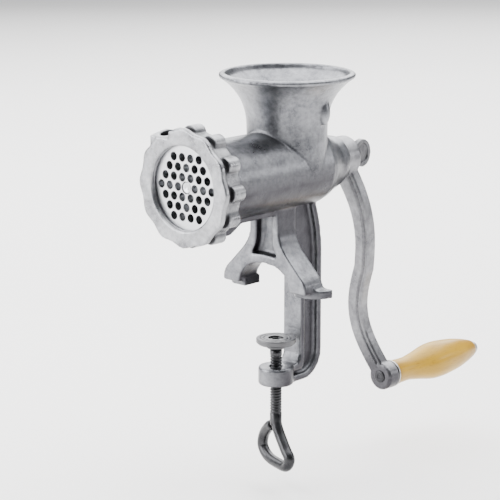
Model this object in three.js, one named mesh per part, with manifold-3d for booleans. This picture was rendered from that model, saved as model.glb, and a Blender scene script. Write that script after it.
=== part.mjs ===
// A hand-cranked meat grinder that clamps to a table edge, as separate pieces.
// Millimetres, +Z up. The outlet faces -Y and the crank is at +Y. The origin is on
// the plane of the foot soles, on the axis of the clamp screw.

import * as THREE from 'three';
import { mergeVertices } from 'three/addons/utils/BufferGeometryUtils.js';
import Module from 'manifold-3d';

const wasm = await Module();
wasm.setup();

// ---------------------------------------------------------------- driving dimensions

// Clearance between pieces that touch on the real grinder
const gap = 0.3;
const facets = 40;

// Barrel, along Y
const axisHeight = 85;
const barrelRadius = 27.8;
const barrelWall = 2.8;
const barrelFront = -86;
const barrelRear = 60;
const tailStart = 28;
const tailEndRadius = 16.5;
const boreEnd = 36;
const boreTaper = 10;
const collarWall = 3.2;
const collarLength = 9;
const flareLength = 4;
const gussetLength = 38;
const gussetHalfWidth = 12;
const gussetDeepShare = 0.4;
const gussetFadeShare = 0.7;

// Cutting plate and knife at the outlet
const plateDiameter = 62;
const plateThickness = 8;
const plateProud = 2.4;
const plateHoleDiameter = 6;
const plateHolePitch = 7.7;
const plateRimWidth = 3.2;
const knifeThickness = 7;
const knifeSquare = 9.4;
const knifeHubRadius = 9;
const bladeWidth = 8;
const keyRadius = 2;
const keyLength = 7;

// Ring nut
const ringLipThickness = 4;
const ringLength = 18;
const ringWall = 3;
const ringFlangeWidth = 5;
const ringPlateHold = 2.5;
const ringLobes = 12;
const ringLobeRadius = 6;
const ringLobeWidth = 7;
const ringWave = 0.8;
const earRise = 10;
const earWidth = 15;
const earAngle = 127;
const earHoleRadius = 3.4;
const earHoleDepth = 9;

// Hopper, round, on top of the barrel
const hopperCentreY = 10.7;
const hopperHeight = 66.4;
const hopperRimRadius = 46.5;
const hopperNeckRadius = 28;
const hopperWall = 3;
const hopperLip = 3.4;

// Stand with two feet
const neckHalfWidth = 13;
const neckFront = -13;
const neckRear = 6;
const neckBottom = 35;
const archHeight = 21;
const footOuter = 44.5;
const footInner = 23;
const footFront = -8;
const footRear = 8.5;
const soleThickness = 4.5;
const toeLipHeight = 1.6;
const webThickness = 7;
const flangeWidth = 6;

// Clamp bow behind the table edge, and its screw
const bowHalfWidth = 8.5;
const bowFront = 17;
const bowRear = 39;
const bowTopRear = 31;
const jawDepth = 55;
const bossHeight = 13;
const bossWall = 7.95;
const bowPocketDepth = 4;
const screwRadius = 4.25;
const tableThickness = 34.5;
const padRadius = 14;
const padThickness = 4.5;
const padCollar = 3;
const tipRadius = 2.6;
const retainerThickness = 1.2;
const retainerRadius = 5;
const tipRecess = 1.2;
const eyeNeck = -98;
const eyeBottom = -130;
const eyeRodRadius = 3.9;
const eyeWidth = 43.5;
const eyeTurn = -15;

// Feed screw and its bearing
const shoulderRadius = 15;
const coreFrontRadius = 9;
const flightClearance = 0.5;
const flightTurns = 2.5;
const flightArc = 50;
const journalPerSquare = 0.7;
const bushWall = 2.6;
const washerThickness = 2;
const shankSquare = 12;
const studRadius = 4;

// Crank, hanging down on the rear
const hubRadius = 14;
const hubLength = 14.7;
const crankReach = 165;
const crankTilt = 5.5;
const crankOffset = 36;
const armTopWidth = 14.5;
const armWidth = 11.5;
const armThickness = 8.2;
const armBulge = 9;
const armCounterBulge = 14.5;
const endBossRadius = 10.1;
const endBossLength = 11;

// Thumb screw that holds the crank on
const thumbStudRadius = 3;
const thumbStudLength = 20;
const thumbCollarRadius = 7;
const thumbCollarLength = 6;
const wingHeight = 20;
const wingLength = 15;
const wingThickness = 4.5;
const crankWasherRadius = 9.5;
const crankWasherThickness = 1.6;

// Wooden grip on its spindle
const gripLength = 95;
const gripStartRadius = 9.3;
const gripNeckRadius = 8.8;
const gripMaxRadius = 13.6;
const gripEndRadius = 6;
const spindleRadius = 3.2;
const spindleHeadRadius = 4.6;
const gripWasherRadius = 10;
const gripWasherThickness = 1.5;

// ---------------------------------------------------------------- helpers

// Turn a closed three.js geometry into a solid
function solid(geometry) {
  const bare = geometry.clone();
  bare.deleteAttribute('normal');
  bare.deleteAttribute('uv');
  const welded = mergeVertices(bare, 1e-4);
  const mesh = new wasm.Mesh({
    numProp: 3,
    vertProperties: new Float32Array(welded.attributes.position.array),
    triVerts: new Uint32Array(welded.index.array),
  });
  return new wasm.Manifold(mesh);
}

// Turn a solid back into a three.js geometry
function geometryOf(body) {
  const mesh = body.getMesh();
  const geometry = new THREE.BufferGeometry();
  geometry.setAttribute('position', new THREE.BufferAttribute(mesh.vertProperties, 3));
  geometry.setIndex(new THREE.BufferAttribute(mesh.triVerts, 1));
  geometry.computeVertexNormals();
  return geometry;
}

function join(solids) {
  return solids.reduce((whole, piece) => whole.add(piece));
}

function cut(body, solids) {
  return solids.reduce((whole, piece) => whole.subtract(piece), body);
}

// A profile of [radius, along] points, counterclockwise, revolved around +Y
function lathe(points, segments = facets) {
  const outline = points.map(([radius, along]) => new THREE.Vector2(radius, along));
  const area = THREE.ShapeUtils.area(outline);
  if (area < 0) outline.reverse();
  if (outline[0].x > 0 || outline.at(-1).x > 0) outline.push(outline[0].clone());
  return new THREE.LatheGeometry(outline, segments);
}

// The same along the barrel's axis, with `along` as Y
function alongBarrel(points, segments = facets) {
  return solid(lathe(points, segments).translate(0, 0, axisHeight));
}

// The same around a vertical axis, with `along` as Z
function upright(points, y = 0, segments = facets) {
  return solid(lathe(points, segments).rotateX(Math.PI / 2).translate(0, y, 0));
}

function disc(radius, from, to) {
  return [[0, from], [radius, from], [radius, to], [0, to]];
}

function tube(inner, outer, from, to) {
  return [[inner, from], [outer, from], [outer, to], [inner, to]];
}

function shapeOf(points) {
  return new THREE.Shape(points.map(([x, y]) => new THREE.Vector2(x, y)));
}

function slab(shape, depth) {
  return new THREE.ExtrudeGeometry(shape, { depth, bevelEnabled: false, curveSegments: 12 });
}

// An outline drawn in X and Z, filling the space between two Y values
function frontSlab(shape, fromY, toY) {
  return slab(shape, toY - fromY).rotateX(Math.PI / 2).translate(0, toY, 0);
}

// An outline drawn in Y and Z, filling the space between two X values
function sideSlab(shape, fromX, toX) {
  return slab(shape, toX - fromX).rotateX(Math.PI / 2).rotateZ(Math.PI / 2).translate(fromX, 0, 0);
}

function block(fromX, toX, fromY, toY, fromZ, toZ) {
  const geometry = new THREE.BoxGeometry(toX - fromX, toY - fromY, toZ - fromZ);
  return geometry.translate((fromX + toX) / 2, (fromY + toY) / 2, (fromZ + toZ) / 2);
}

// A strip of varying width along a smooth line through the points
function ribbon(points, widthAt, steps = 20) {
  const line = new THREE.SplineCurve(points.map(([x, y]) => new THREE.Vector2(x, y)));
  const left = [];
  const right = [];
  for (let i = 0; i <= steps; i += 1) {
    const centre = line.getPoint(i / steps);
    const tangent = line.getTangent(i / steps);
    const half = widthAt(i / steps) / 2;
    left.push([centre.x - tangent.y * half, centre.y + tangent.x * half]);
    right.unshift([centre.x + tangent.y * half, centre.y - tangent.x * half]);
  }
  return shapeOf([...right, ...left]);
}

function radians(degrees) {
  return THREE.MathUtils.degToRad(degrees);
}

const group = new THREE.Group();

function addPiece(name, body, material) {
  const mesh = new THREE.Mesh(geometryOf(body), material);
  mesh.name = name;
  group.add(mesh);
  return mesh;
}

function metal(color, roughness = 0.35) {
  return new THREE.MeshStandardMaterial({ color, roughness, metalness: 0.9 });
}

// ---------------------------------------------------------------- places along the barrel

const ringFront = barrelFront - plateProud - gap - ringLipThickness;
const plateFront = ringFront + ringLipThickness + gap;
const plateRear = plateFront + plateThickness;
const knifeFront = plateRear + gap;
const knifeRear = knifeFront + knifeThickness;
const seatDepth = plateRear + gap;
const plateRadius = plateDiameter / 2;
const seatRadius = plateRadius + gap;
const collarRadius = seatRadius + collarWall;
const boreRadius = barrelRadius - barrelWall;
const collarEnd = barrelFront + collarLength;
const flareEnd = collarEnd + flareLength;
const ringRear = ringFront + ringLength;
const gussetFront = ringRear + 1;
const shoulderRear = boreEnd - washerThickness - 2 * gap;
const journalRadius = shankSquare * journalPerSquare;
const bushOuter = journalRadius + gap + bushWall;
const hubFront = barrelRear + gap;
const hubRear = hubFront + hubLength;
const shankEnd = hubRear - 0.5;

// ---------------------------------------------------------------- body casting

function barrelOutside() {
  const tail = [];
  for (const share of [0.25, 0.5, 0.75, 1]) {
    const radius = barrelRadius - (barrelRadius - tailEndRadius) * share ** 2;
    tail.push([radius, THREE.MathUtils.lerp(tailStart, barrelRear, share)]);
  }
  return [
    [0, barrelFront],
    [collarRadius, barrelFront],
    [collarRadius, collarEnd],
    [barrelRadius, flareEnd],
    [barrelRadius, tailStart],
    ...tail,
    [0, barrelRear],
  ];
}

function barrelInside() {
  return [
    [0, barrelFront - 1],
    [seatRadius, barrelFront - 1],
    [seatRadius, seatDepth],
    [boreRadius, seatDepth],
    [boreRadius, boreEnd - boreTaper],
    [boreRadius - 4, boreEnd],
    [bushOuter + gap, boreEnd],
    [bushOuter + gap, barrelRear + 1],
    [0, barrelRear + 1],
  ];
}

// A rib under the barrel, from the stand forward to the collar
function gusset() {
  const under = axisHeight - barrelRadius;
  const drop = collarRadius + 1 - barrelRadius;
  const outline = shapeOf([
    [gussetFront, axisHeight],
    [neckFront + 2, axisHeight],
    [neckFront + 2, under - 1],
    [gussetFront + gussetLength * gussetFadeShare, under - 1],
    [gussetFront + gussetLength * gussetDeepShare, under - drop],
    [gussetFront, under - drop],
  ]);
  return solid(sideSlab(outline, -gussetHalfWidth, gussetHalfWidth));
}

// The bell: radius at a height above the barrel's axis
const hopperTop = axisHeight + hopperHeight;
function bellRadius(share) {
  const flare = share ** 3.1;
  return hopperNeckRadius + (hopperRimRadius - hopperLip / 3 - hopperNeckRadius) * flare;
}

function hopperOutside() {
  const steps = 9;
  const neckTop = axisHeight + barrelRadius * 0.8;
  const points = [[0, axisHeight], [hopperNeckRadius, axisHeight], [hopperNeckRadius, neckTop]];
  for (let i = 1; i < steps; i += 1) {
    const share = i / steps;
    points.push([bellRadius(share), neckTop + (hopperTop - hopperLip - neckTop) * share]);
  }
  points.push([hopperRimRadius, hopperTop - hopperLip * 0.8]);
  points.push([hopperRimRadius, hopperTop - hopperLip * 0.3]);
  points.push([hopperRimRadius - 1, hopperTop]);
  points.push([0, hopperTop]);
  return points;
}

function hopperInside() {
  const steps = 9;
  const throat = hopperNeckRadius - hopperWall - gap;
  const neckTop = axisHeight + barrelRadius * 0.8;
  const points = [[0, axisHeight], [throat, axisHeight], [throat, neckTop]];
  for (let i = 1; i <= steps; i += 1) {
    const share = i / steps;
    points.push([bellRadius(share) - hopperWall, neckTop + (hopperTop - neckTop) * share]);
  }
  points.push([bellRadius(1) - hopperWall + 1, hopperTop + 1]);
  points.push([0, hopperTop + 1]);
  return points;
}

// Both halves of an outline drawn for +X, from its top, round by the middle
function mirroredShape(right) {
  const left = right.filter(([x]) => x > 0).map(([x, z]) => [-x, z]).reverse();
  return shapeOf([...right, ...left].reverse());
}

const standTop = axisHeight - barrelRadius * 0.75;
function standOutline() {
  return mirroredShape([
    [neckHalfWidth, standTop],
    [neckHalfWidth + 0.5, neckBottom + 9],
    [neckHalfWidth + 2.5, neckBottom + 2],
    [neckHalfWidth + 8, neckBottom - 5.5],
    [footOuter - 7.5, soleThickness + 8],
    [footOuter - 5.5, soleThickness - 1],
    [footInner + 1, soleThickness - 1],
    [footInner - 2, archHeight * 0.6],
    [footInner - 11, archHeight * 0.92],
    [0, archHeight],
  ]);
}

// The hollow between the flanges that run down both sides and over the arch
function standHollow() {
  const inner = neckHalfWidth - flangeWidth;
  return mirroredShape([
    [inner, standTop],
    [inner, neckBottom],
    [inner + 5, neckBottom - 9],
    [0, archHeight + flangeWidth],
  ]);
}

function stand() {
  const middle = (neckFront + neckRear) / 2;
  const plain = solid(frontSlab(standOutline(), neckFront, neckRear));
  const frontPocket = frontSlab(standHollow(), neckFront - 1, middle - webThickness / 2);
  const rearPocket = frontSlab(standHollow(), middle + webThickness / 2, neckRear + 1);
  return cut(plain, [solid(frontPocket), solid(rearPocket)]);
}

// A foot seen from above, a tongue that points outward
function tongue(inset) {
  return new THREE.Shape([
    [footInner + inset, footRear - inset],
    [footInner + inset, footFront + inset],
    [footOuter - 9, footFront + 1 + inset],
    [footOuter - 4 - inset * 0.7, footFront + 5 + inset],
    [footOuter - inset, footRear - 5],
    [footOuter + 0.5 - inset, footRear - inset],
  ].map(([x, y]) => new THREE.Vector2(x, y)));
}

function foot(side) {
  const sole = solid(slab(tongue(0), soleThickness));
  const rim = solid(slab(tongue(0), soleThickness + toeLipHeight));
  const hollow = solid(slab(tongue(3), toeLipHeight + 1).translate(0, 0, soleThickness));
  const inside = solid(block(0, footOuter - 8, footFront - 1, footRear + 1, soleThickness, 20));
  const body = sole.add(cut(rim, [hollow, inside]));
  return side > 0 ? body : solid(mirrorX(geometryOf(body)));
}

// Mirror a geometry in X and keep its faces pointing out
function mirrorX(geometry) {
  const mirrored = geometry.clone().scale(-1, 1, 1);
  const flat = mirrored.index ? mirrored.toNonIndexed() : mirrored;
  const position = flat.attributes.position;
  const corner = new THREE.Vector3();
  const other = new THREE.Vector3();
  for (let i = 0; i < position.count; i += 3) {
    corner.fromBufferAttribute(position, i);
    other.fromBufferAttribute(position, i + 1);
    position.setXYZ(i, other.x, other.y, other.z);
    position.setXYZ(i + 1, corner.x, corner.y, corner.z);
  }
  return flat;
}

const bossTop = -jawDepth;
const bossBottom = bossTop - bossHeight;
const bossRadius = screwRadius + gap + bossWall;

// The bow's side outline: down behind the table edge, then forward to the boss
function bowOutline(inset) {
  const bend = 20;
  const line = [
    [neckRear - 4 + inset, axisHeight - barrelRadius * 0.8],
    [neckRear - 2 + inset, neckBottom],
    [bowFront + inset, archHeight],
    [bowFront + inset, bossTop - inset],
    [inset, bossTop - inset],
    [inset, bossBottom + inset],
    [bowRear - bend, bossBottom + inset],
  ];
  for (const degrees of [-60, -30, 0]) {
    const reach = bend - inset;
    const y = bowRear - bend + reach * Math.cos(radians(degrees));
    line.push([y, bossBottom + bend + reach * Math.sin(radians(degrees))]);
  }
  line.push([bowRear - inset, neckBottom - 10]);
  line.push([(bowRear + bowTopRear) / 2 + 1 - inset, neckBottom + 10]);
  line.push([bowTopRear - inset, axisHeight - barrelRadius * 0.8]);
  return shapeOf(line);
}

function clampBow() {
  const plain = solid(sideSlab(bowOutline(0), -bowHalfWidth, bowHalfWidth));
  const floor = bowHalfWidth - bowPocketDepth;
  const right = solid(sideSlab(bowOutline(flangeWidth * 0.8), floor, bowHalfWidth + 1));
  const left = solid(sideSlab(bowOutline(flangeWidth * 0.8), -bowHalfWidth - 1, -floor));
  return cut(plain, [right, left]);
}

// Small boss at the back of the hopper, and the plain raised mark on its side
function castMarks() {
  const knob = new THREE.SphereGeometry(3.4, 16, 10);
  knob.translate(0, hopperCentreY + hopperNeckRadius + 1.6, axisHeight + barrelRadius);
  const mark = new THREE.SphereGeometry(1, 16, 10).scale(3.2, 3.2, 7.5);
  mark.translate(hopperNeckRadius + 2, 0, axisHeight + hopperHeight * 0.62);
  mark.rotateZ(radians(8)).translate(0, hopperCentreY, 0);
  return [solid(knob), solid(mark)];
}

const keyCentre = axisHeight + seatRadius;
function keySolid(radius, from, to) {
  const body = new THREE.CylinderGeometry(radius, radius, to - from, 12);
  return solid(body.translate(0, (from + to) / 2, keyCentre));
}

function bodyCasting() {
  const outside = join([
    alongBarrel(barrelOutside()),
    upright(hopperOutside(), hopperCentreY),
    ...castMarks(),
    gusset(),
    stand(),
    foot(1),
    foot(-1),
    clampBow(),
    upright(disc(bossRadius, bossBottom, bossTop)),
  ]);
  return cut(outside, [
    alongBarrel(barrelInside()),
    upright(hopperInside(), hopperCentreY),
    upright(disc(screwRadius + gap, bossBottom - 1, bossTop + 1), 0, 24),
    keySolid(keyRadius + gap, barrelFront - 1, barrelFront + keyLength + gap),
  ]);
}

// ---------------------------------------------------------------- outlet pieces

function perforatedPlate() {
  const shape = new THREE.Shape().absarc(0, 0, plateRadius, 0, 2 * Math.PI);
  const holeRadius = plateHoleDiameter / 2;
  const centreHole = studRadius + gap;
  const reach = plateRadius - plateRimWidth - holeRadius;
  const rows = Math.ceil(plateRadius / plateHolePitch) + 1;
  for (let row = -rows; row <= rows; row += 1) {
    for (let column = -rows; column <= rows; column += 1) {
      const x = (column + row / 2) * plateHolePitch;
      const z = row * plateHolePitch * Math.sin(Math.PI / 3);
      const distance = Math.hypot(x, z);
      if (distance > reach || distance < centreHole + holeRadius) continue;
      shape.holes.push(new THREE.Path().absarc(x, z, holeRadius, 0, 2 * Math.PI));
    }
  }
  shape.holes.push(new THREE.Path().absarc(0, 0, centreHole, 0, 2 * Math.PI));
  const options = { depth: plateThickness, bevelEnabled: false, curveSegments: 6 };
  const plate = new THREE.ExtrudeGeometry(shape, options);
  plate.rotateX(Math.PI / 2).translate(0, plateRear, axisHeight);
  const notch = keySolid(keyRadius + 2 * gap, plateFront - 1, plateRear + 1);
  return solid(plate).subtract(notch);
}

function knife() {
  const hub = solid(slab(new THREE.Shape().absarc(0, 0, knifeHubRadius, 0, 2 * Math.PI), knifeThickness));
  const halfTip = bladeWidth / 2 + 1;
  const reach = Math.sqrt((boreRadius - flightClearance) ** 2 - halfTip ** 2);
  const blade = shapeOf([
    [0, -bladeWidth / 2],
    [reach, -halfTip],
    [reach, bladeWidth / 2 - 3],
    [knifeHubRadius, bladeWidth / 2],
    [0, bladeWidth / 2],
  ]);
  const blades = [];
  for (let i = 0; i < 4; i += 1) {
    blades.push(solid(slab(blade, knifeThickness).rotateZ(i * Math.PI / 2)));
  }
  const half = knifeSquare / 2 + gap;
  const square = solid(block(-half, half, -half, half, -1, knifeThickness + 1));
  const flat = join([hub, ...blades]).subtract(square);
  const geometry = geometryOf(flat).rotateX(Math.PI / 2);
  return solid(geometry.translate(0, knifeRear, axisHeight));
}

// The ring's wavy front flange, seen from the front
function ringFlange() {
  const points = [];
  const steps = ringLobes * 6;
  for (let i = 0; i < steps; i += 1) {
    const angle = (i / steps) * 2 * Math.PI;
    const radius = collarRadius + ringFlangeWidth + ringWave * Math.cos(ringLobes * angle);
    points.push([radius * Math.cos(angle), radius * Math.sin(angle)]);
  }
  return solid(frontSlab(shapeOf(points), ringFront, ringFront + ringLipThickness + 1));
}

// One squared lug on the ring, with a blind hole in its flat top for a turning bar
const earReach = collarRadius + earRise;
const earX = earReach * Math.cos(radians(earAngle));
const earZ = earReach * Math.sin(radians(earAngle));
function ringEar() {
  const shape = shapeOf([
    [earX - 3, earZ - earWidth],
    [earX - 3, earZ - 2],
    [earX - 1, earZ],
    [earX + earWidth - 4, earZ],
    [earX + earWidth, earZ - 3],
    [earX + earWidth, earZ - earWidth],
  ]);
  return solid(frontSlab(shape, ringFront + 0.6, ringRear - 4));
}

function ringEarHole() {
  const hole = new THREE.CylinderGeometry(earHoleRadius, earHoleRadius, earHoleDepth + 1, 16);
  hole.rotateX(Math.PI / 2).translate(earX + 3, ringFront + ringLength * 0.4, earZ + 1 - earHoleDepth / 2);
  return solid(hole);
}

function ringNut() {
  const lobeCentre = collarRadius + ringLobeWidth - ringLobeRadius;
  const lobes = [];
  for (let i = 0; i < ringLobes; i += 1) {
    const angle = (i / ringLobes) * 2 * Math.PI;
    const lobe = new THREE.CylinderGeometry(ringLobeRadius, ringLobeRadius, ringLength - 3, 14);
    lobe.translate(lobeCentre * Math.cos(angle), ringRear - (ringLength - 3) / 2, lobeCentre * Math.sin(angle));
    lobes.push(solid(lobe));
  }
  const core = solid(lathe(disc(collarRadius + ringWall, ringFront, ringRear)));
  const outside = join([core, ringFlange(), ...lobes, ringEar()]);
  const threadBore = disc(collarRadius + gap, ringFront + ringLipThickness, ringRear + 1);
  const mouth = disc(plateRadius - ringPlateHold, ringFront - 1, ringRear);
  const body = cut(outside, [solid(lathe(threadBore)), solid(lathe(mouth)), ringEarHole()]);
  return solid(geometryOf(body).translate(0, 0, axisHeight));
}

// ---------------------------------------------------------------- feed screw and bearing

const flightRear = boreEnd - boreTaper;
const flightFront = knifeRear + 1;
const flightRadius = boreRadius - flightClearance;

function flight() {
  const shape = new THREE.Shape();
  const half = radians(flightArc / 2);
  shape.moveTo(0, 0);
  const arcSteps = 5;
  for (let i = 0; i <= arcSteps; i += 1) {
    const angle = -half + (2 * half * i) / arcSteps;
    shape.lineTo(flightRadius * Math.cos(angle), flightRadius * Math.sin(angle));
  }
  shape.closePath();
  const length = flightRear - flightFront;
  const steps = 60;
  const geometry = new THREE.ExtrudeGeometry(shape, { depth: length, steps, bevelEnabled: false });
  const position = geometry.attributes.position;
  const point = new THREE.Vector3();
  const axis = new THREE.Vector3(0, 0, 1);
  for (let i = 0; i < position.count; i += 1) {
    point.fromBufferAttribute(position, i);
    const share = point.z / length;
    const turn = flightTurns * (0.75 * share + 0.25 * share * share);
    point.applyAxisAngle(axis, 2 * Math.PI * turn);
    position.setXYZ(i, point.x, point.y, point.z);
  }
  geometry.rotateX(Math.PI / 2).translate(0, flightRear, axisHeight);
  return solid(geometry);
}

function feedScrew() {
  const core = alongBarrel([
    [0, flightFront],
    [coreFrontRadius, flightFront],
    [shoulderRadius, shoulderRear - 5],
    [shoulderRadius, shoulderRear],
    [journalRadius, shoulderRear],
    [journalRadius, barrelRear],
    [0, barrelRear],
  ]);
  const half = shankSquare / 2;
  const shank = block(-half, half, barrelRear - 1, shankEnd, axisHeight - half, axisHeight + half);
  const rearHole = disc(thumbStudRadius + gap, shankEnd - thumbStudLength, shankEnd + 1);
  const frontHole = disc(studRadius + gap, flightFront - 1, flightFront + 14);
  return join([core, flight(), solid(shank)]).subtract(alongBarrel(rearHole, 20))
    .subtract(alongBarrel(frontHole, 20));
}

// The stud screwed into the feed screw: a square for the knife, a round tip in the plate
function knifeStud() {
  const half = knifeSquare / 2;
  const square = block(-half, half, knifeFront, knifeRear + 1 - gap, axisHeight - half, axisHeight + half);
  const rod = alongBarrel(disc(studRadius, plateFront + gap, flightFront + 14 - gap), 20);
  return solid(square).add(rod);
}

// ---------------------------------------------------------------- crank

// Centre line of the arm: sideways S, and outward away from the barrel
const tiltShift = crankReach * Math.tan(radians(crankTilt));
function armSide(share) {
  const lean = tiltShift * share;
  return lean + (share < 0.5 ? armBulge : armCounterBulge) * Math.sin(2 * Math.PI * share);
}
const armStartY = hubFront + armThickness / 2 + gap;
const endBossFront = armStartY + crankOffset - endBossLength / 2;
const endBossRear = endBossFront + endBossLength;

function crankArm() {
  const frontLine = [];
  const sideLine = [];
  for (let i = 0; i <= 8; i += 1) {
    const share = i / 8;
    const z = axisHeight - crankReach * share;
    frontLine.push([armSide(share), z]);
    sideLine.push([armStartY + crankOffset * share ** 0.8, z]);
  }
  const widthAt = (share) => THREE.MathUtils.lerp(armTopWidth, armWidth, Math.min(1, share * 2.5));
  const front = solid(frontSlab(ribbon(frontLine, widthAt), hubFront, endBossRear));
  const farX = tiltShift + armCounterBulge + armTopWidth;
  const side = solid(sideSlab(ribbon(sideLine, () => armThickness), -farX, farX));
  const arm = front.intersect(side);
  const hub = alongBarrel(disc(hubRadius, hubFront, hubRear));
  const bossProfile = [
    [0, endBossFront],
    [endBossRadius - 1.2, endBossFront],
    [endBossRadius, endBossFront + 1.2],
    [endBossRadius, endBossRear],
    [0, endBossRear],
  ];
  const boss = solid(lathe(bossProfile, 28).translate(tiltShift, 0, axisHeight - crankReach));
  const half = shankSquare / 2 + gap;
  const square = block(-half, half, hubFront - 1, hubRear + 1, axisHeight - half, axisHeight + half);
  const bore = lathe(disc(spindleRadius + gap, endBossFront - 1, endBossRear + 1), 20);
  bore.translate(tiltShift, 0, axisHeight - crankReach);
  return cut(join([arm, hub, boss]), [solid(square), solid(bore)]);
}

function thumbScrew() {
  const collarFront = hubRear + crankWasherThickness + 2 * gap;
  const collarRear = collarFront + thumbCollarLength;
  const stud = disc(thumbStudRadius, shankEnd - thumbStudLength + gap, collarFront + 1);
  const collar = disc(thumbCollarRadius, collarFront, collarRear);
  const wing = new THREE.Shape().absellipse(0, 0, wingLength / 2 + 1, wingHeight / 2, 0, 2 * Math.PI);
  const blade = sideSlab(wing, -wingThickness / 2, wingThickness / 2);
  blade.translate(0, collarRear + wingLength / 2 - 1, axisHeight);
  return join([alongBarrel(stud, 20), alongBarrel(collar, 28), solid(blade)]);
}

function crankWasher() {
  const front = hubRear + gap;
  const ring = tube(thumbStudRadius + gap, crankWasherRadius, front, front + crankWasherThickness);
  return alongBarrel(ring, 28);
}

// ---------------------------------------------------------------- grip

const innerWasherFront = endBossRear + gap;
const gripFront = innerWasherFront + gripWasherThickness + gap;
const gripRear = gripFront + gripLength;
const outerWasherFront = gripRear + gap;

function onSpindle(points, segments = 28) {
  return solid(lathe(points, segments).translate(tiltShift, 0, axisHeight - crankReach));
}

function grip() {
  const bore = spindleRadius + gap;
  const swell = gripMaxRadius - gripNeckRadius;
  const taper = gripMaxRadius - gripEndRadius;
  const belly = [
    [gripNeckRadius + swell * 0.38, gripFront + gripLength * 0.31],
    [gripNeckRadius + swell * 0.88, gripFront + gripLength * 0.44],
    [gripMaxRadius, gripFront + gripLength * 0.53],
    [gripMaxRadius - taper * 0.05, gripFront + gripLength * 0.62],
    [gripMaxRadius - taper * 0.24, gripFront + gripLength * 0.755],
    [gripMaxRadius - taper * 0.52, gripFront + gripLength * 0.87],
    [gripMaxRadius - taper * 0.8, gripFront + gripLength * 0.95],
  ];
  return onSpindle([
    [bore, gripFront],
    [gripStartRadius, gripFront],
    [gripNeckRadius, gripFront + gripLength * 0.1],
    [gripNeckRadius, gripFront + gripLength * 0.19],
    ...belly,
    [gripEndRadius, gripRear],
    [bore, gripRear],
  ]);
}

function gripSpindle() {
  const headFront = outerWasherFront + gripWasherThickness + gap;
  return onSpindle([
    [0, endBossFront - 0.6],
    [spindleRadius + 1.1, endBossFront - gap - 0.6],
    [spindleRadius + 1.4, endBossFront - gap],
    [spindleRadius, endBossFront - gap],
    [spindleRadius, headFront],
    [spindleHeadRadius, headFront],
    [spindleHeadRadius - 1, headFront + 2],
    [0, headFront + 2.8],
  ]);
}

function gripWasher(front, radius) {
  return onSpindle(tube(spindleRadius + gap, radius, front, front + gripWasherThickness));
}

// ---------------------------------------------------------------- clamp screw and pad

const padTop = -tableThickness;
const padBottom = padTop - padThickness;
const tipTop = padTop - tipRecess;

function clampPad() {
  return upright([
    [tipRadius + gap, padBottom - padCollar],
    [padRadius * 0.5, padBottom - padCollar],
    [padRadius * 0.5, padBottom],
    [padRadius, padBottom],
    [padRadius, padTop],
    [retainerRadius + gap, padTop],
    [retainerRadius + gap, tipTop - retainerThickness - gap],
    [tipRadius + gap, tipTop - retainerThickness - gap],
  ], 0, 32);
}

function padRetainer() {
  const top = tipTop;
  return upright(tube(tipRadius + gap, retainerRadius, top - retainerThickness, top), 0, 24);
}

// The screw's lower end is bent into a finger eye and closed against the shank
function clampScrew() {
  const shoulder = padBottom - padCollar - gap;
  const shank = upright([
    [0, eyeNeck],
    [screwRadius, eyeNeck],
    [screwRadius, shoulder],
    [tipRadius, shoulder],
    [tipRadius, tipTop - gap],
    [0, tipTop - gap],
  ], 0, 24);
  const half = eyeWidth / 2 - eyeRodRadius;
  const bottom = eyeBottom + eyeRodRadius;
  const corners = [
    [0, eyeNeck + 3],
    [half * 0.2, eyeNeck - 4],
    [half * 0.7, eyeNeck - 15],
    [half, bottom + 7],
    [half * 0.8, bottom + 1],
    [half * 0.35, bottom],
    [-half * 0.5, bottom + 1.5],
    [-half * 0.95, bottom + 8],
    [-half * 0.85, bottom + 17],
    [-half * 0.5, bottom + 24],
    [-eyeRodRadius - 0.6, eyeNeck - 1.5],
  ];
  const path = new THREE.CatmullRomCurve3(
    corners.map(([x, z]) => new THREE.Vector3(x, 0, z)), false, 'centripetal',
  );
  const section = new THREE.Shape().absarc(0, 0, eyeRodRadius, 0, 2 * Math.PI);
  const options = { steps: 48, extrudePath: path, curveSegments: 5, bevelEnabled: false };
  const rod = new THREE.ExtrudeGeometry(section, options);
  return shank.add(solid(rod.rotateZ(radians(eyeTurn))));
}

// ---------------------------------------------------------------- the assembly

addPiece('body_casting', bodyCasting(), metal(0xb4b6ba, 0.32));
addPiece('plate_key', keySolid(keyRadius, barrelFront + gap, barrelFront + keyLength), metal(0x85878b));
addPiece('rear_bush', alongBarrel(
  tube(journalRadius + gap, bushOuter, boreEnd + gap, barrelRear - gap), 28,
), metal(0xb08d4a, 0.4));
addPiece('thrust_washer', alongBarrel(
  tube(journalRadius + gap, shoulderRadius + 2, boreEnd - gap - washerThickness, boreEnd - gap), 28,
), new THREE.MeshStandardMaterial({ color: 0x7a3b22, roughness: 0.7, metalness: 0 }));
addPiece('perforated_plate', perforatedPlate(), metal(0x9a9ca0, 0.3));
addPiece('ring_nut', ringNut(), metal(0xc6c8cb, 0.34));
addPiece('feed_screw', feedScrew(), metal(0xaeb0b4, 0.36));
addPiece('knife_stud', knifeStud(), metal(0x8d8f93, 0.3));
addPiece('knife', knife(), metal(0x8f9195, 0.25));
addPiece('crank_arm', crankArm(), metal(0xb0b2b5, 0.34));
addPiece('grip_spindle', gripSpindle(), metal(0x6f7072, 0.4));
addPiece('grip_washer_inner', gripWasher(innerWasherFront, gripWasherRadius), metal(0xd0d0cc, 0.25));
addPiece('grip_washer_outer', gripWasher(outerWasherFront, spindleHeadRadius + 0.8), metal(0xb0b0ac, 0.3));
addPiece('grip', grip(), new THREE.MeshStandardMaterial({ color: 0xd6a440, roughness: 0.3, metalness: 0 }));
addPiece('crank_washer', crankWasher(), metal(0xa8aaac, 0.3));
addPiece('thumb_screw', thumbScrew(), metal(0x9c9ea1, 0.35));
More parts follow.
